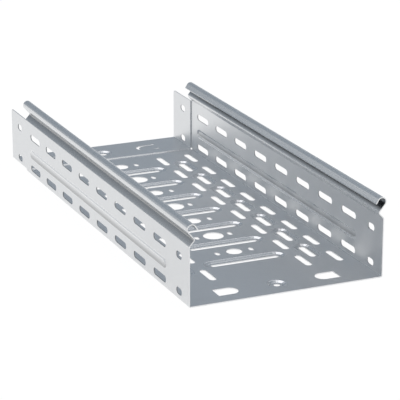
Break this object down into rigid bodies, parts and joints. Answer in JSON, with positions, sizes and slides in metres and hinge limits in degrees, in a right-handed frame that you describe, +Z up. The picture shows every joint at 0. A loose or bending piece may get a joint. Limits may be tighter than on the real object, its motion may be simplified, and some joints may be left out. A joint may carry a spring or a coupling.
{
  "type": "cable tray",
  "caption": "Perforated sheet-steel cable tray with rolled edges, pressed recesses round its slots and a stepped push-in coupling tab.",
  "frame": {"origin": "middle of the box at floor level, under the lowest recesses", "axes": "+Y along the tray towards its stepped tab, +X across it, +Z up out of the open side"},
  "size_m": [0.203, 0.5, 0.0818],
  "materials": {
    "galvanised_steel": "smooth hot-dip galvanised strip, pale blue-grey with a soft sheen"
  },
  "bodies": {
    "root": {"tray_body": "galvanised_steel"}
  },
  "joints": []
}
